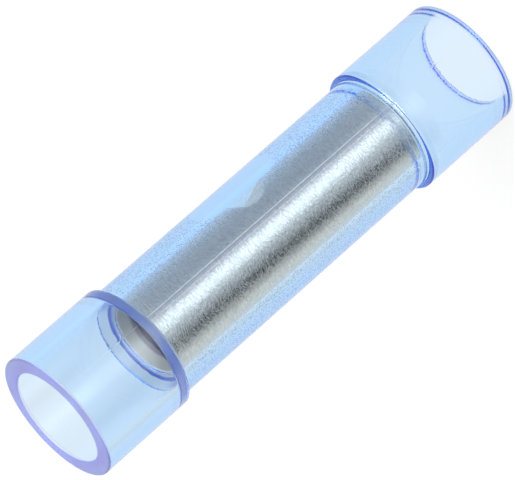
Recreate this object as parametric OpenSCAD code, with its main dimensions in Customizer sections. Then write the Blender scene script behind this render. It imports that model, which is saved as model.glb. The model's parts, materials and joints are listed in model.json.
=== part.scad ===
// Butt splice connector: a tinned copper crimp barrel held inside a clear moulded sleeve.
// A stripped wire goes in at each end and reaches a stop pressed into the middle of the barrel.
// The connector stands on one end with its axis on Z. Its two ends are alike inside.

/* [Crimp barrel] */
// Length of the barrel
barrel_length = 15.6; // [12:0.1:30]
// Diameter of the bore that takes the bare wire
barrel_bore = 2.5; // [1.6:0.1:4]
// Wall of the barrel
barrel_wall = 0.82; // [0.7:0.02:1.2]
// Countersink at each mouth of the bore, on the radius and along the axis
mouth_countersink = 0.6; // [0.1:0.05:0.65]
// How far each end of the barrel is turned down on the radius, so that it slides into the sleeve
lead_in = 0.03; // [0.01:0.01:0.3]
// Length of that turned-down lead at each end of the barrel
lead_length = 0.6; // [0.1:0.05:1]

/* [Wire stop] */
// How far the punch pressed the wall of the barrel in
stop_depth = 0.6; // [0.3:0.05:1]
// Radius of the round-nosed punch
stop_punch_radius = 1.4; // [1:0.1:4]
// Way that the dent faces, in degrees round the axis from +X
stop_angle = -22; // [-180:1:180]
// How far the bore is drawn in all round beside the dent
stop_draw = 0.2; // [0.2:0.05:0.4]

/* [Sleeve] */
// Gap between the barrel and its seat in the sleeve
seat_clearance = 0.02; // [0.01:0.01:0.1]
// Wall of the sleeve round the barrel
body_wall = 0.88; // [0.6:0.02:1.1]
// How far the wide ends stand out from the body
flare_step = 0.29; // [0.2:0.01:0.6]
// Length of the upper wide end
upper_flare_length = 5.1; // [5:0.05:7]
// Length of the lower wide end
lower_flare_length = 5.45; // [5:0.05:7]
// Wall of the wide ends
flare_wall = 0.8; // [0.5:0.05:1]
// Rounding of both corners of the step between a wide end and the body
step_rounding = 0.13; // [0.02:0.01:0.25]
// Rounding of the rim at each mouth
rim_rounding = 0.1; // [0.02:0.01:0.3]

/* [Wire entry] */
// Depth of the straight bore that takes the wire's insulation
entry_depth = 4.75; // [3:0.05:10]
// Length of the gentle taper behind the straight bore
taper_length = 0.5; // [0.2:0.05:1]
// How far the gentle taper narrows the radius
taper_in = 0.22; // [0.05:0.01:0.4]
// How far the shoulder behind the taper slopes toward the barrel
shoulder_fall = 0.05; // [0.05:0.05:1.5]
// Length of the straight land between the shoulder and the barrel
throat_land = 0.1; // [0.05:0.05:0.6]

/* [Hidden] */

bore_r = barrel_bore / 2;
mouth_r = bore_r + mouth_countersink;
barrel_r = bore_r + barrel_wall;

// The dent and the swelling that it pushes into the bore are round about the same line
swell_radius = stop_punch_radius + barrel_wall;
stop_half_length = sqrt(2 * swell_radius * stop_depth - pow(stop_depth, 2));
punch_offset = barrel_r - stop_depth + stop_punch_radius;
bore_depth = barrel_length / 2 - stop_half_length;
passage_r = bore_r - stop_draw;

seat_r = barrel_r + seat_clearance;
body_r = seat_r + body_wall;
flare_r = body_r + flare_step;
entry_r = flare_r - flare_wall;
taper_r = entry_r - taper_in;
throat_r = mouth_r;
seat_depth = entry_depth + taper_length + shoulder_fall + throat_land;
sleeve_length = barrel_length + 2 * (seat_depth + seat_clearance);
barrel_base = seat_depth + seat_clearance;

// A fillet takes up less than half of the wall or step that it rounds
fillet_share = 0.45;
step_fillet = min(step_rounding, flare_step * fillet_share);
rim_fillet = min(rim_rounding, flare_wall * fillet_share);
fillet_steps = 6;
round_facets = 96;

// One end of the sleeve's section as [radius, height, fillet], from the seat round the rim to the body
function end_section(flare_length) = [
    [seat_r, seat_depth, 0],
    [throat_r, seat_depth, 0],
    [throat_r, seat_depth - throat_land, 0],
    [taper_r, entry_depth + taper_length, 0],
    [entry_r, entry_depth, 0],
    [entry_r, 0, rim_fillet],
    [flare_r, 0, rim_fillet],
    [flare_r, flare_length, step_fillet],
    [body_r, flare_length, step_fillet],
];

function unit(v) = v / norm(v);
function flat(corner) = [corner[0], corner[1]];
function wrap(i, list) = list[(i + len(list)) % len(list)];

// The same section turned end for end
function turned_over(section) =
    [for (i = [len(section) - 1 : -1 : 0]) [section[i][0], sleeve_length - section[i][1], section[i][2]]];

// Points of the arc that rounds the corner b between a and c
function fillet_arc(a, b, c, radius) =
    let (
        to_a = unit(a - b),
        to_c = unit(c - b),
        half_angle = acos(to_a * to_c) / 2,
        reach = radius / tan(half_angle),
        centre = b + unit(to_a + to_c) * radius / sin(half_angle),
        first = b + to_a * reach - centre,
        last = b + to_c * reach - centre
    )
    [for (i = [0 : fillet_steps]) centre + radius * unit(first + (last - first) * i / fillet_steps)];

// A section with each corner rounded by its own fillet
function rounded(section) = [
    for (i = [0 : len(section) - 1])
        let (b = flat(section[i]), fillet = section[i][2])
        each fillet == 0
            ? [b]
            : fillet_arc(flat(wrap(i - 1, section)), b, flat(wrap(i + 1, section)), fillet)
];

// Cylinder across the barrel at the middle of its length, where the punch came in
module punch(radius) {
    rotate([0, 0, stop_angle])
        translate([punch_offset, 0, barrel_length / 2])
            rotate([90, 0, 0])
                cylinder(h = 4 * barrel_r, r = radius, center = true, $fn = round_facets);
}

// Turned blank of the barrel, led in at both ends
module barrel_blank() {
    rotate_extrude($fn = round_facets)
        polygon([
            [0, 0],
            [barrel_r - lead_in, 0],
            [barrel_r, lead_length],
            [barrel_r, barrel_length - lead_length],
            [barrel_r - lead_in, barrel_length],
            [0, barrel_length],
        ]);
}

// Countersunk bore from the lower end of the barrel up to the stop
module conductor_bore() {
    translate([0, 0, -mouth_countersink])
        cylinder(h = bore_depth + mouth_countersink, r = bore_r, $fn = round_facets);
    translate([0, 0, -mouth_countersink])
        cylinder(
            h = 2 * mouth_countersink,
            r1 = bore_r + 2 * mouth_countersink,
            r2 = bore_r,
            $fn = round_facets
        );
}

// What the stop leaves open between the two bores
module stop_passage() {
    difference() {
        translate([0, 0, bore_depth - stop_draw])
            cylinder(h = 2 * (stop_half_length + stop_draw), r = passage_r, $fn = round_facets);
        punch(swell_radius);
    }
}

module crimp_barrel() {
    color([0.76, 0.77, 0.73])
        translate([0, 0, barrel_base])
            difference() {
                barrel_blank();
                conductor_bore();
                translate([0, 0, barrel_length])
                    mirror([0, 0, 1])
                        conductor_bore();
                stop_passage();
                punch(stop_punch_radius);
            }
}

module insulation_sleeve() {
    color([0.56, 0.74, 1.0, 0.45])
        rotate_extrude($fn = round_facets)
            polygon(rounded(concat(end_section(lower_flare_length), turned_over(end_section(upper_flare_length)))));
}

insulation_sleeve();
crimp_barrel();
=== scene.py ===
# %% [markdown]
# # A butt splice connector
# A butt splice joins two wires end to end. A tinned copper tube, the crimp barrel, takes one stripped
# wire from each side, and a clear blue nylon sleeve insulates it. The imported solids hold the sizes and
# the places, and this lesson dresses them: both pieces are built again as fine meshes, because clear
# plastic bends light, and every flat facet of a coarse mesh would show in it.

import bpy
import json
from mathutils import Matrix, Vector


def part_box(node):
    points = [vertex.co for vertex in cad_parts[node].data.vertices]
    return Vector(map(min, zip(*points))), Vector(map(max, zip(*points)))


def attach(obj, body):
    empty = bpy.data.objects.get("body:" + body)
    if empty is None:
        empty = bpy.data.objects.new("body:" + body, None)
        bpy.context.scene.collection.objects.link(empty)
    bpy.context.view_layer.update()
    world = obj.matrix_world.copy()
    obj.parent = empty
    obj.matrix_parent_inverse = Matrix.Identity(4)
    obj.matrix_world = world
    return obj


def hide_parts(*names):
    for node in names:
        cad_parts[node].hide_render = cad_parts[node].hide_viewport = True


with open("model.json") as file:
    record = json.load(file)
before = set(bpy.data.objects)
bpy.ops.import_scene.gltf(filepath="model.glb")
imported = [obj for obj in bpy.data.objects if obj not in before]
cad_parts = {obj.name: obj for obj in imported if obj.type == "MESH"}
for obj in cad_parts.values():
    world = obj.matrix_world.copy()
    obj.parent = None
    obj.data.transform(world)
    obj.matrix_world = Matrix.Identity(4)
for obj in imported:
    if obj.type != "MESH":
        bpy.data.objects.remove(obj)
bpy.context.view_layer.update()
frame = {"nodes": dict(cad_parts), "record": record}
print("nodes:", sorted(frame["nodes"]))

# %% [markdown]
# ## Sizes
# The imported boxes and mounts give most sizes, in metres. The few that no box or mount states, such as
# the wall of the sleeve, are named here in millimetres, as a moulder's drawing has them.

# %% Read the sizes of both pieces
import json
import math

import bmesh
import bpy
import numpy as np
from mathutils import Matrix, Vector

MM = 0.001

mounts = {mount["name"]: mount for mount in frame["record"]["mounts"]}
sleeve_low, sleeve_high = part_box("insulation_sleeve")
barrel_low, barrel_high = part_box("crimp_barrel")
sleeve_length = sleeve_high[2]
flare_r = sleeve_high[0]
barrel_r = -barrel_low[0]
barrel_base = barrel_low[2]
barrel_top = barrel_high[2]
barrel_middle = (barrel_base + barrel_top) / 2
entry_r = mounts["wire_entry_top"]["dims"]["r_mm"] * MM
bore_r = mounts["conductor_bore_top"]["dims"]["r_mm"] * MM
barrel_wall = barrel_r - bore_r

seat_clearance = 0.02 * MM
body_wall = 0.88 * MM
upper_flare_length = 5.1 * MM
lower_flare_length = 5.45 * MM
seat_r = barrel_r + seat_clearance
body_r = seat_r + body_wall
seat_depth = barrel_base - seat_clearance
print(f"sleeve {sleeve_length / MM:.2f} mm long, {2 * flare_r / MM:.2f} mm across")
print(f"barrel {2 * barrel_r / MM:.2f} mm outside, {2 * bore_r / MM:.2f} mm inside")

# %% [markdown]
# ## Turning a section
# Both pieces are round, so both start as a closed section that is turned about the axis, as on a lathe.
# Blender's Screw modifier could turn it too, but a loop lets each point be moved on the way: that is
# where the mould's seam and the punch's dent come in. A corner of the section carries a fillet radius,
# and a long straight edge can be cut into rows where a dent needs them.


# %% Helpers for sections
GUARD = 0.02 * MM


def fillet_arc(before, corner, after, radius, steps=8):
    """Points of the arc that rounds a corner of a section."""
    to_before = (before - corner).normalized()
    to_after = (after - corner).normalized()
    half = to_before.angle(to_after) / 2
    centre = corner + (to_before + to_after).normalized() * (radius / math.sin(half))
    first = corner + to_before * (radius / math.tan(half)) - centre
    last = corner + to_after * (radius / math.tan(half)) - centre
    return [centre + first.lerp(last, i / steps).normalized() * radius for i in range(steps + 1)]


def rounded(corners):
    """A closed section of (radius, height, fillet) corners as a list of (radius, height) points."""
    points = []
    for i, (r, z, fillet) in enumerate(corners):
        corner = Vector((r, z))
        before = Vector(corners[i - 1][:2])
        after = Vector(corners[(i + 1) % len(corners)][:2])
        arc = fillet_arc(before, corner, after, fillet) if fillet else [corner]
        entering = arc[0] + (before - corner).normalized() * GUARD
        leaving = arc[-1] + (after - corner).normalized() * GUARD
        points += [entering, *arc, leaving]
    return points


def in_rows(points, longest):
    """The same closed section with its long edges cut into rows of at most the given length."""
    rows = []
    for i, start in enumerate(points):
        end = points[(i + 1) % len(points)]
        pieces = max(1, math.ceil((end - start).length / longest))
        rows += [start.lerp(end, k / pieces) for k in range(pieces)]
    return rows


def turned(name, section, angles, move=None):
    """A closed mesh of the section at each angle. move may shift each point (x, y, z) of the turning."""
    mesh = bpy.data.meshes.new(name)
    vertices = []
    for angle in angles:
        for r, z in section:
            point = Vector((r * math.cos(angle), r * math.sin(angle), z))
            vertices.append(move(point) if move else point)
    rows, count = len(section), len(angles)
    faces = []
    for i in range(count):
        here, there = i * rows, (i + 1) % count * rows
        for k in range(rows):
            up = (k + 1) % rows
            faces.append((here + k, there + k, there + up, here + up))
    mesh.from_pydata(vertices, [], faces)
    shaped = bmesh.new()
    shaped.from_mesh(mesh)
    bmesh.ops.recalc_face_normals(shaped, faces=shaped.faces)
    shaped.to_mesh(mesh)
    shaped.free()
    mesh.shade_smooth()
    mesh.set_sharp_from_angle(angle=math.radians(20))
    piece = bpy.data.objects.new(name, mesh)
    bpy.context.scene.collection.objects.link(piece)
    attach(piece, "root")
    return piece


# %% [markdown]
# ## The sleeve
# The sleeve is moulded nylon. Each end is a wide collar with a straight entry for the wire's insulation,
# then a taper and a flat shoulder, where the insulation stops while the strands go on into the barrel.
# Only one end is written down: the other is the same list turned over, with its own length of collar.

# %% Draw the sleeve's section
taper_length = 0.5 * MM
taper_in = 0.22 * MM
throat_land = 0.1 * MM
shoulder_fillet = 0.05 * MM
taper_fillet = 0.3 * MM
step_fillet = 0.13 * MM
rim_fillet = 0.1 * MM
mouth_countersink = 0.6 * MM
throat_r = bore_r + mouth_countersink
entry_depth = mounts["wire_entry_top"]["dims"]["length_mm"] * MM + rim_fillet


def sleeve_end(flare_length):
    """One end of the sleeve's section, from the barrel's seat round the rim to the body."""
    return [
        (seat_r, seat_depth, 0),
        (throat_r, seat_depth, 0),
        (throat_r, seat_depth - throat_land, 0),
        (entry_r - taper_in, entry_depth + taper_length, shoulder_fillet),
        (entry_r, entry_depth, taper_fillet),
        (entry_r, 0, rim_fillet),
        (flare_r, 0, rim_fillet),
        (flare_r, flare_length, step_fillet),
        (body_r, flare_length, step_fillet),
    ]


lower_end = sleeve_end(lower_flare_length)
upper_end = [(r, sleeve_length - z, fillet) for r, z, fillet in reversed(sleeve_end(upper_flare_length))]
print("sleeve's section:", len(lower_end) + len(upper_end), "corners")

# %% [markdown]
# ## The mould's seam
# The mould has two halves that close on the plane through the axis and Y. Where they meet, a ridge finer
# than a hair runs down the front and the back, lower on the collars than on the body, and one half sits
# a little further along than the other. A ridge modelled by itself would have to be joined on, so each
# point is moved as it is turned instead. The steps between the angles are small beside the seam.

# %% Turn the sleeve
PARTING_ANGLES = (-math.pi / 2, math.pi / 2)
SEAM_HEIGHT = 0.018 * MM
COLLAR_SEAM_HEIGHT = 0.0081 * MM
SEAM_WIDTH = 0.035 * MM
MISMATCH = 0.03 * MM


def sleeve_angles(coarse=1.5, fine=0.25, fine_reach=3.0):
    """Angles round the sleeve in radians, with fine steps beside the two parting lines."""
    angles = []
    for parting in PARTING_ANGLES:
        near = np.arange(-fine_reach, fine_reach, fine)
        far = np.arange(fine_reach, 180 - fine_reach, coarse)
        angles += [parting + math.radians(a) for a in (*near, *far)]
    return angles


def with_seam(point):
    """Raises the seam where the mould's halves met, and sets one half a little further along."""
    r = math.hypot(point.x, point.y)
    if r < seat_r + body_wall / 2:
        return point
    height = SEAM_HEIGHT if r < (body_r + flare_r) / 2 else COLLAR_SEAM_HEIGHT
    lift = height * math.exp(-((point.x / SEAM_WIDTH) ** 2))
    moved = point * 1.0
    moved.x *= 1 + lift / r
    moved.y *= 1 + lift / r
    at_step = min(abs(point.z - lower_flare_length), abs(point.z - sleeve_length + upper_flare_length))
    if at_step < 2 * step_fillet and point.x > 0:
        moved.z += MISMATCH
    return moved


sleeve = turned("clear_sleeve", rounded(lower_end + upper_end), sleeve_angles(), with_seam)
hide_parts("insulation_sleeve")
print("sleeve:", len(sleeve.data.polygons), "faces")

# %% [markdown]
# ## The barrel
# The barrel is a copper tube with countersunk ends, turned down a little so that they slide in. Halfway
# along, a round-nosed punch has pressed its wall in, so that a wire pushed in from either side stops
# there. The punch is a cylinder lying across the tube: what stands in its way is pushed back, with a
# soft edge, on the outside by the punch itself and on the inside by the punch and the wall's thickness.

# %% Turn the barrel and press its stop
STOP_ANGLE = math.radians(-22)
STOP_DEPTH = 0.6 * MM
PUNCH_RADIUS = 1.4 * MM
EDGE_SOFTNESS = 0.06 * MM
lead_in = 0.03 * MM
lead_length = 0.6 * MM
edge_fillet = 0.02 * MM
stop_draw = 0.2 * MM
swell_radius = PUNCH_RADIUS + barrel_wall
stop_half = math.sqrt(2 * swell_radius * STOP_DEPTH - STOP_DEPTH**2)
punch_offset = barrel_r - STOP_DEPTH + PUNCH_RADIUS
punch_way = Vector((math.cos(STOP_ANGLE), math.sin(STOP_ANGLE), 0))

lower_barrel = [
    (bore_r - stop_draw, barrel_middle - stop_half, edge_fillet),
    (bore_r, barrel_middle - stop_half, edge_fillet),
    (bore_r, barrel_base + mouth_countersink, edge_fillet),
    (throat_r, barrel_base, edge_fillet),
    (barrel_r - lead_in, barrel_base, edge_fillet),
    (barrel_r, barrel_base + lead_length, edge_fillet),
]
upper_barrel = [(r, 2 * barrel_middle - z, fillet) for r, z, fillet in reversed(lower_barrel)]


def soft_min(a, b, softness):
    """The smaller of two lengths, blended where they are nearly equal."""
    return (a + b - math.sqrt((a - b) ** 2 + softness**2)) / 2


def pressed(point):
    """Pushes a point of the tube back from the punch."""
    r = math.hypot(point.x, point.y)
    nose = PUNCH_RADIUS if r > (bore_r + barrel_r) / 2 else swell_radius
    along = point.z - barrel_middle
    if abs(along) >= nose:
        return point
    limit = punch_offset - math.sqrt(nose**2 - along**2)
    depth = point.dot(punch_way)
    if limit > depth + 6 * EDGE_SOFTNESS:
        return point
    return point + punch_way * (soft_min(depth, limit, EDGE_SOFTNESS) - depth)


barrel_section = in_rows(rounded(lower_barrel + upper_barrel), 0.12 * MM)
barrel = turned("tinned_barrel", barrel_section, list(np.linspace(-math.pi, math.pi, 241)[:-1]), pressed)
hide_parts("crimp_barrel")
print("barrel:", len(barrel.data.polygons), "faces")

# %% [markdown]
# ## Shader maths
# A material is a graph of nodes, and sums in it are Math nodes. This class wraps a node's output, so that
# a sum of signals can be written as Python, and adds one Math node for each operator. Every other node
# comes from the one method below.


# %% A signal in a material
class Signal:
    """The output of a shader node, which can be used in sums."""

    def __init__(self, socket):
        self.socket = socket
        self.tree = socket.id_data

    @classmethod
    def node(cls, tree, kind, settings=None, values=None, output=0):
        """Adds a node, sets it up, fills or links its sockets and returns one of its outputs."""
        made = tree.nodes.new(kind)
        for name, setting in (settings or {}).items():
            if name == "stops":
                cls.set_stops(made.color_ramp, setting)
            else:
                setattr(made, name, setting)
        for name, value in (values or {}).items():
            cls.feed(made.inputs[name], value)
        return cls(made.outputs[output])

    @staticmethod
    def feed(socket, value):
        """Links a signal to a socket, or sets a plain value on it."""
        if isinstance(value, Signal):
            socket.id_data.links.new(value.socket, socket)
        else:
            socket.default_value = value

    @staticmethod
    def set_stops(ramp, stops):
        """Gives a colour ramp its (place, colour) stops."""
        while len(ramp.elements) > 1:
            ramp.elements.remove(ramp.elements[-1])
        for i, (place, colour) in enumerate(stops):
            stop = ramp.elements[0] if i == 0 else ramp.elements.new(place)
            stop.position = place
            stop.color = (*colour, 1)

    def maths(self, operation, first, second):
        settings = {"operation": operation}
        return Signal.node(self.tree, "ShaderNodeMath", settings, {0: first, 1: second})

    def __add__(self, other):
        return self.maths("ADD", self, other)

    __radd__ = __add__

    def __sub__(self, other):
        return self.maths("SUBTRACT", self, other)

    def __rsub__(self, other):
        return self.maths("SUBTRACT", other, self)

    def __mul__(self, other):
        return self.maths("MULTIPLY", self, other)

    __rmul__ = __mul__

    def __truediv__(self, other):
        return self.maths("DIVIDE", self, other)

    def __gt__(self, other):
        return self.maths("GREATER_THAN", self, other)


def new_material(name):
    """An empty material and its output node."""
    material = bpy.data.materials.new(name)
    material.use_nodes = True
    material.node_tree.nodes.clear()
    return material, material.node_tree, material.node_tree.nodes.new("ShaderNodeOutputMaterial")


def object_place(tree):
    """A surface point's place on the piece, in millimetres, as a vector and as x, y and z."""
    place = Signal.node(tree, "ShaderNodeTexCoord", output="Object")
    scale = {"operation": "SCALE"}
    in_mm = Signal.node(tree, "ShaderNodeVectorMath", scale, {0: place, "Scale": 1 / MM})
    parts = Signal.node(tree, "ShaderNodeSeparateXYZ", values={0: in_mm}).socket.node.outputs
    return in_mm, [Signal(part) for part in parts]


def function(operation, *values):
    """A Math node's function of one or two signals."""
    tree = values[0].tree
    return Signal.node(tree, "ShaderNodeMath", {"operation": operation}, dict(enumerate(values)))


def rise(value, start, end):
    """Nought up to start, one from end on, and smooth between."""
    limits = {"Value": value, "From Min": start, "From Max": end, "To Min": 0.0, "To Max": 1.0}
    return Signal.node(value.tree, "ShaderNodeMapRange", {"interpolation_type": "SMOOTHSTEP"}, limits)


def noise(vector, scale, detail, distortion=0.0):
    """A noise texture's grey value."""
    values = {"Vector": vector, "Scale": scale, "Detail": detail, "Distortion": distortion}
    return Signal.node(vector.tree, "ShaderNodeTexNoise", values=values)


def mixed_colour(share, first, second):
    """Two colours, or a colour and a signal, mixed by a share of the second."""
    first, second = [(*part, 1) if isinstance(part, tuple) else part for part in (first, second)]
    # a Mix node has a set of sockets for each type: 6 and 7 are its colours, and 2 is the colour it gives
    sockets = {0: share, 6: first, 7: second}
    return Signal.node(share.tree, "ShaderNodeMix", {"data_type": "RGBA"}, sockets, 2)


# %% [markdown]
# ## The parts of the sleeve
# The nylon isn't alike all over. Its rims are matt, its bores and tapers are as the core pins of the
# mould left them, and a strip beside the seam is tinted violet as painted shade, standing for the shading
# beside the seam's step. Each could be a material of its own, but then its edge would follow the mesh.
# Here each is a mask, one where the part is and nought elsewhere, worked out in millimetres from the place
# on the piece.

# %% Mask the parts of the sleeve
# where the strip of painted violet shade beside the seam's step lies across x, and its half width, in mm
SEAM_SHADE_X = -0.09
SEAM_SHADE_HALF = 0.08

nylon, tree, surface = new_material("clear_blue_nylon")
place, (x, y, z) = object_place(tree)
half_length = sleeve_length / 2 / MM
entry_edge = entry_r / MM
body_edge = body_r / MM
taper_start = entry_depth / MM
seat_start = seat_depth / MM

radius = function("SQRT", x * x + y * y)
from_end = half_length - function("ABSOLUTE", z - half_length)
upper = rise(z, half_length - 1.0, half_length + 1.0)
rim = 1.0 - rise(from_end, 0.03, 0.16)
bore = (1.0 - rise(radius, entry_edge + 0.02, entry_edge + 0.06)) * rise(from_end, 0.05, 0.15)
bore = bore * (1.0 - rise(from_end, taper_start - 0.05, taper_start))
taper = rise(from_end, taper_start, taper_start + 0.1)
taper = taper * (1.0 - rise(from_end, seat_start - 0.04, seat_start - 0.02))
taper = taper * (1.0 - rise(radius, entry_edge, entry_edge + 0.02))
# the seam mask: the strip on the body where violet shade is painted beside the seam's step
from_strip = function("ABSOLUTE", x - SEAM_SHADE_X)
seam = 1.0 - rise(from_strip, SEAM_SHADE_HALF, SEAM_SHADE_HALF + 0.02)
seam = seam * rise(radius, body_edge - 0.05, body_edge - 0.02)
seam = seam * (1.0 - rise(radius, body_edge + 0.05, body_edge + 0.1))
print("masks of the sleeve:", len(tree.nodes), "nodes")

# %% [markdown]
# ## Where the sleeve grips the barrel
# On the two sides in line with the punch, the nylon touches the tin in many small spots, and the clear
# wall looks speckled there. Round the dent it touches nothing and stays clear. Spots could be scattered
# one by one, but a noise that is cut off at a level gives as many as it takes, and masks keep them to the
# seat, to those two sides and off the dent.

# %% Mask the spots of contact
CONTACT_FROM = 0.49
CONTACT_FADE = 0.1
CLEAR_HALF_ANGLE = math.radians(34)
CLEAR_HALF_LENGTH = 2.35

seat_edge = seat_r / MM
dent_way = x * math.cos(STOP_ANGLE) + y * math.sin(STOP_ANGLE)
beside = function("ARCCOSINE", dent_way / radius) / CLEAR_HALF_ANGLE
along = (z - half_length) / CLEAR_HALF_LENGTH
off_dent = rise(beside * beside + along * along, 0.9, 1.2)
seated = 1.0 - rise(radius, seat_edge + 0.03, seat_edge + 0.06)
seated = seated * rise(from_end, seat_start + 0.05, seat_start + 0.25)
grip = rise(function("ABSOLUTE", dent_way / radius), 0.68, 0.8)
spots = rise(noise(place, 12.0, 1.0), CONTACT_FROM, CONTACT_FROM + CONTACT_FADE)
contact = spots * seated * off_dent * grip
print("masks of the grip:", len(tree.nodes), "nodes")

# %% [markdown]
# ## Clear blue nylon
# Nylon is clear with a light dye, so the colour comes from the depth of plastic that light has passed:
# a Volume Absorption inside the mesh tints long ways more than short ones, where a blue Base Color would
# tint all alike. The masks make it more or less matt, and the rim and the seam strip also tint its Base
# Color violet: on the seam strip that violet is painted shade. At the upper end two of them also mix in a
# second shader: the rim scatters some light as milk does, and the taper lets it through as frosted
# glass does.

# %% Make the nylon
CLEAR = (1.0, 1.0, 1.0)
VIOLET = (0.80, 0.72, 0.96)
# the seam strip's violet is painted shade, standing for the shading beside the seam's step
SEAM_SHADE_VIOLET = (0.86, 0.82, 0.97)
MILK = (0.8, 0.8, 1.0, 1)
HAZE = (0.85, 0.87, 1.0, 1)
DYE = (0.65, 0.84, 0.99, 1)
DYE_DENSITY = 1000.0
NYLON_IOR = 1.53

frost = noise(place, 7.0, 2.0) * bore
bump = Signal.node(
    tree, "ShaderNodeBump", values={"Strength": 0.1, "Distance": 0.02 * MM, "Height": frost}
)
matt_rim = (0.2 + 0.15 * upper) * rim
skin = Signal.node(
    tree,
    "ShaderNodeBsdfPrincipled",
    values={
        "Base Color": mixed_colour(seam, mixed_colour(rim, CLEAR, VIOLET), SEAM_SHADE_VIOLET),
        "Transmission Weight": 1.0,
        "IOR": NYLON_IOR,
        "Roughness": 0.02 + 0.03 * bore + matt_rim + 0.2 * taper + 0.36 * contact,
        "Normal": bump,
    },
)
milky = Signal.node(tree, "ShaderNodeBsdfDiffuse", values={"Color": MILK})
pale_rim = Signal.node(tree, "ShaderNodeMixShader", values={0: 0.2 * rim * upper, 1: skin, 2: milky})
hazy = Signal.node(tree, "ShaderNodeBsdfTranslucent", values={"Color": HAZE})
frosted = Signal.node(tree, "ShaderNodeMixShader", values={0: 0.4 * taper * upper, 1: pale_rim, 2: hazy})
dye = Signal.node(tree, "ShaderNodeVolumeAbsorption", values={"Color": DYE, "Density": DYE_DENSITY})
Signal.feed(surface.inputs["Surface"], frosted)
Signal.feed(surface.inputs["Volume"], dye)
sleeve.data.materials.append(nylon)
print("nylon:", len(tree.nodes), "nodes")

# %% [markdown]
# ## The marks on the barrel
# Metal is seen by what it mirrors, so the finest marks show. Hairs run round the tube, and one side is
# scuffed more than the rest. An image of scratches could be wrapped round it, but a noise needs no image:
# its place is unrolled to the angle and the height first, and stretched, so that each grain of it becomes
# a hair. The dent has none, because the punch has smoothed it.

# %% Mark the barrel
SCUFFED_SIDE = math.radians(-121)
HAIRS_ROUND = 6.0
HAIRS_ALONG = 15.0

tin, tree, surface = new_material("tinned_copper")
place, (x, y, z) = object_place(tree)
radius = function("SQRT", x * x + y * y)
angle = function("ARCTAN2", y, x)
undented = 1.0 - rise(barrel_r / MM - radius, 0.02, 0.08)

unrolled = {0: angle * (barrel_r / MM * HAIRS_ROUND), 1: z * HAIRS_ALONG, 2: radius * HAIRS_ROUND}
unrolled = Signal.node(tree, "ShaderNodeCombineXYZ", values=unrolled)
hairs = noise(unrolled, 1.0, 2.0, 0.6)
grain = noise(place, 9.0, 1.0)
scuffed = 1.0 - rise(function("ABSOLUTE", angle - SCUFFED_SIDE), 0.15, 0.35)
relief = (hairs * (0.75 + 0.85 * scuffed) + 0.2 * grain) * undented
bump = Signal.node(
    tree, "ShaderNodeBump", values={"Strength": 1.0, "Distance": 0.02 * MM, "Height": relief}
)
print("marks on the barrel:", len(tree.nodes), "nodes")

# %% [markdown]
# ## Tinned copper
# Tin plating is a pale metal, a little duller in the hairs. In the countersinks it is dull, and the bore
# behind them is painted dark, as painted shade for the depth of the tube. The tubes are cut from a plated
# length, so both cut ends show some of the copper.
# Masks on the radius and on the distance from the middle tell these apart, as on the sleeve.

# %% Make the tin plating
TIN = (0.95, 0.79, 0.65)
DULL_TIN = (0.68, 0.57, 0.48)
CUT_COPPER = (0.80, 0.68, 0.58)
MOUTH_TIN = (0.42, 0.38, 0.33)
# painted shade: the bore past the countersinks is coloured dark to stand for the shade deep inside the
# tube
PAINTED_BORE_SHADE = (0.18, 0.14, 0.17)

mouth_edge = throat_r / MM
half_barrel = (barrel_top - barrel_base) / 2 / MM
from_middle = function("ABSOLUTE", z - barrel_middle / MM)
inside = (1.0 - rise(radius, mouth_edge + 0.05, mouth_edge + 0.1)) * rise(from_middle, 2.0, 2.2)
# the bore past the countersinks, where the dark painted shade goes
bore_shade = inside * (1.0 - rise(from_middle, half_barrel - 0.5, half_barrel - 0.4))
cut = rise(from_middle, half_barrel - 0.06, half_barrel - 0.02)

in_hairs = rise(hairs, 0.4, 0.65) * undented
plating = mixed_colour(in_hairs * 0.5, TIN, DULL_TIN)
mouth = mixed_colour(inside, plating, MOUTH_TIN)
skin = Signal.node(
    tree,
    "ShaderNodeBsdfPrincipled",
    values={
        "Base Color": mixed_colour(cut, mixed_colour(bore_shade, mouth, PAINTED_BORE_SHADE), CUT_COPPER),
        "Metallic": 1.0 - 0.7 * inside,
        "Roughness": 0.15 + 0.2 * (1.0 - undented) + 0.3 * cut + 0.2 * inside,
        "Normal": bump,
    },
)
Signal.feed(surface.inputs["Surface"], skin)
barrel.data.materials.append(tin)
print("tin:", len(tree.nodes), "nodes")

# %% [markdown]
# ## The stage
# The photograph's background is plain white. Here a pale floor and a white world give it: both glow at
# a strength of one for the camera, and for rays that the metal mirrors or the plastic lets through. The
# floor keeps a share of its own shading, so that the shadow stays.

# %% Lay the floor and light the world
FLOOR_SIZE = 2.0
FLOOR_GLOW = 0.85
FLOOR_DROP = 0.02 * MM


def ray_is(tree, *kinds):
    """One for rays of the named kinds, and nought for the rest."""
    path = Signal.node(tree, "ShaderNodeLightPath").socket.node.outputs
    others = 1.0
    for kind in kinds:
        others = others * (1.0 - Signal(path[f"Is {kind} Ray"]))
    return 1.0 - others


floor_mesh = bpy.data.meshes.new("floor")
half = FLOOR_SIZE / 2
corners = [(x, y, -FLOOR_DROP) for x, y in ((-half, -half), (half, -half), (half, half), (-half, half))]
floor_mesh.from_pydata(corners, [], [(0, 1, 2, 3)])
floor = bpy.data.objects.new("floor", floor_mesh)
bpy.context.scene.collection.objects.link(floor)

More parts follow.
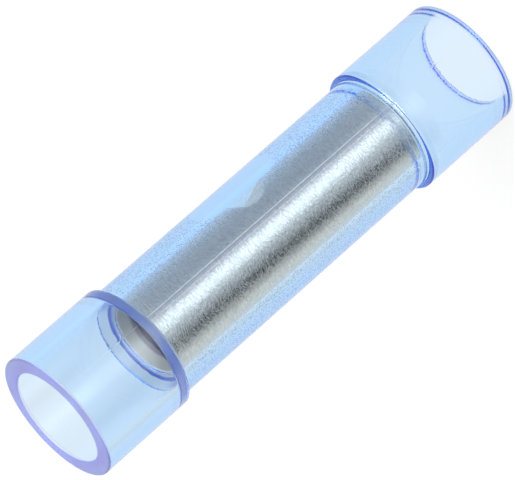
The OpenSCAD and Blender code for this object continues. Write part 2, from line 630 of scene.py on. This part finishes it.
paper, tree, surface = new_material("white_paper")
matt = Signal.node(tree, "ShaderNodeBsdfDiffuse", values={"Color": (0.9, 0.9, 0.9, 1)})
glow = Signal.node(tree, "ShaderNodeEmission", values={"Color": (1, 1, 1, 1), "Strength": 1.0})
through = ray_is(tree, "Glossy", "Transmission")
share = through + FLOOR_GLOW * ray_is(tree, "Camera") * (1.0 - through)
mixed = Signal.node(tree, "ShaderNodeMixShader", values={0: share, 1: matt, 2: glow})
Signal.feed(surface.inputs["Surface"], mixed)
floor_mesh.materials.append(paper)

world = bpy.data.worlds.new("white_room")
world.use_nodes = True
bpy.context.scene.world = world
tree = world.node_tree
tree.nodes.clear()
surface = tree.nodes.new("ShaderNodeOutputWorld")
strength = 0.7 + 0.3 * ray_is(tree, "Camera", "Glossy", "Transmission")
room = Signal.node(tree, "ShaderNodeBackground", values={"Color": (1, 1, 1, 1), "Strength": strength})
Signal.feed(surface.inputs["Surface"], room)
print("stage:", floor.name, "and", world.name)

# %% [markdown]
# ## The lamp
# One soft lamp overhead makes the floor's shadow. The white room gives the rest of the light, so the
# lamp stays weak. A sun would give the shadow a hard edge.

# %% Hang the lamp
def soft_lamp(name, place, size, power):
    """A square area lamp that looks at the middle of the connector."""
    light = bpy.data.lights.new(name, "AREA")
    light.size = size
    light.energy = power
    lamp = bpy.data.objects.new(name, light)
    lamp.location = place
    aim = Vector((0, 0, sleeve_length / 2)) - Vector(place)
    lamp.rotation_euler = aim.to_track_quat("-Z", "Y").to_euler()
    bpy.context.scene.collection.objects.link(lamp)
    return lamp


soft_lamp("overhead_softbox", (0.10, -0.15, 0.45), 0.3, 2.0)
print("lamp in place")

# %% [markdown]
# ## The card
# In a white room, metal would look white. A ring of shaded card lies on the floor on the camera's side
# and gives the barrel its bright and dark streaks, cool on one side and warm on the other. Several lamps
# could do it, but a card is easier to set: each shade is an angle, a brightness and a tint. It shows in
# what is mirrored and nowhere else, so it isn't seen through the clear ends from behind.

# %% Lay the card
CAMERA_AZIMUTH = math.radians(-12.7)
COOL = (1.0, 1.08, 1.24)
PLAIN = (1.0, 1.0, 1.0)
WARM = (1.0, 0.9, 0.8)
NEAR_SHADES = (
    (-130, 1.0, COOL),
    (-100, 0.86, COOL),
    (-80, 0.60, COOL),
    (-50, 0.50, COOL),
    (-38, 0.56, COOL),
    (-20, 0.90, PLAIN),
    (-6, 1.95, PLAIN),
    (6, 1.95, PLAIN),
    (20, 0.87, PLAIN),
    (35, 0.55, PLAIN),
    (50, 0.03, PLAIN),
    (60, 0.05, PLAIN),
    (72, 0.75, WARM),
    (85, 1.2, WARM),
    (110, 1.2, WARM),
    (130, 1.0, WARM),
)
CARD_NEAR = 12 * MM
CARD_FAR = 110 * MM


def shaded_card(name, shades):
    """A ring of card on the floor, shaded by the angle from the camera's side, in degrees towards -X."""
    mesh = bpy.data.meshes.new(name)
    steps = 64
    first, last = shades[0][0], shades[-1][0]
    points = []
    for r in (CARD_NEAR, CARD_FAR):
        for i in range(steps + 1):
            turn = math.radians(first + (last - first) * i / steps) - CAMERA_AZIMUTH
            points.append((-r * math.sin(turn), -r * math.cos(turn), 0))
    faces = [(i, i + 1, steps + 2 + i, steps + 1 + i) for i in range(steps)]
    mesh.from_pydata(points, [], faces)
    card = bpy.data.objects.new(name, mesh)
    bpy.context.scene.collection.objects.link(card)
    card.visible_camera = False
    card.visible_shadow = False
    card.visible_diffuse = False
    material, tree, surface = new_material(name)
    place, (x, y, z) = object_place(tree)
    turn = (function("ARCTAN2", x * -1.0, y * -1.0) + CAMERA_AZIMUTH) * (180 / math.pi)
    along = (turn - first) / (last - first)
    brightest = max(grey for _, grey, _ in shades)
    stops = []
    for a, grey, tint in shades:
        stops.append(((a - first) / (last - first), [grey * part / brightest for part in tint]))
    ramp = Signal.node(tree, "ShaderNodeValToRGB", {"stops": stops}, {0: along})
    shade = Signal.node(tree, "ShaderNodeEmission", values={"Color": ramp, "Strength": brightest})
    mirrored = Signal.node(tree, "ShaderNodeLightPath", output="Glossy Depth") > 0.5
    clear = Signal.node(tree, "ShaderNodeBsdfTransparent")
    shown = Signal.node(tree, "ShaderNodeMixShader", values={0: mirrored, 1: clear, 2: shade})
    Signal.feed(surface.inputs["Surface"], shown)
    mesh.materials.append(material)
    return card


shaded_card("shaded_card", NEAR_SHADES)
print("card:", len(NEAR_SHADES), "shades")

# %% [markdown]
# ## The camera
# The photograph was fitted with a pinhole camera: its focal length in pixels, how far away the
# connector's middle lies, how the axis leans away from the view, and where the middle falls in the
# picture. The connector stands on its end here, so the camera is rolled to show it lying slantwise.

# %% Set the camera
PICTURE_WIDTH = 515
PICTURE_HEIGHT = 480
FOCAL_PX = 4264.94
MIDDLE_PX = (264.05, 235.64)
DISTANCE = 192.22 * MM
AXIS_LEAN = math.radians(66.58)
AXIS_ROLL = math.radians(-41.342)
SENSOR_MM = 36.0


def fitted_camera():
    """The camera of the photograph, standing at CAMERA_AZIMUTH from the -Y side."""
    lean, roll = AXIS_LEAN, AXIS_ROLL
    # in the camera's own axes, x right, y up and z back: the way up the axis and the connector's middle
    up = -Vector((math.sin(lean) * math.cos(roll), -math.sin(lean) * math.sin(roll), -math.cos(lean)))
    off_x = (MIDDLE_PX[0] - PICTURE_WIDTH / 2) / FOCAL_PX
    off_y = (PICTURE_HEIGHT / 2 - MIDDLE_PX[1]) / FOCAL_PX
    middle = Vector((off_x, off_y, -1)) * DISTANCE
    front = (-middle - up * (-middle).dot(up)).normalized()
    own_axes = Matrix((front, up.cross(front), up)).transposed()
    world_front = Vector((math.sin(CAMERA_AZIMUTH), -math.cos(CAMERA_AZIMUTH), 0))
    world_up = Vector((0, 0, 1))
    world_axes = Matrix((world_front, world_up.cross(world_front), world_up)).transposed()
    turn = world_axes @ own_axes.transposed()
    place = Vector((0, 0, sleeve_length / 2)) - turn @ middle
    data = bpy.data.cameras.new("camera")
    data.sensor_width = SENSOR_MM
    data.lens = FOCAL_PX * SENSOR_MM / PICTURE_WIDTH
    data.clip_start = 0.001
    camera = bpy.data.objects.new("camera", data)
    camera.matrix_world = Matrix.Translation(place) @ turn.to_4x4()
    bpy.context.scene.collection.objects.link(camera)
    return camera


scene = bpy.context.scene
scene.camera = fitted_camera()
scene.view_settings.view_transform = "Standard"
scene.cycles.max_bounces = 128
scene.cycles.transmission_bounces = 128
scene.cycles.glossy_bounces = 64
print("camera lens:", round(scene.camera.data.lens, 1), "mm")
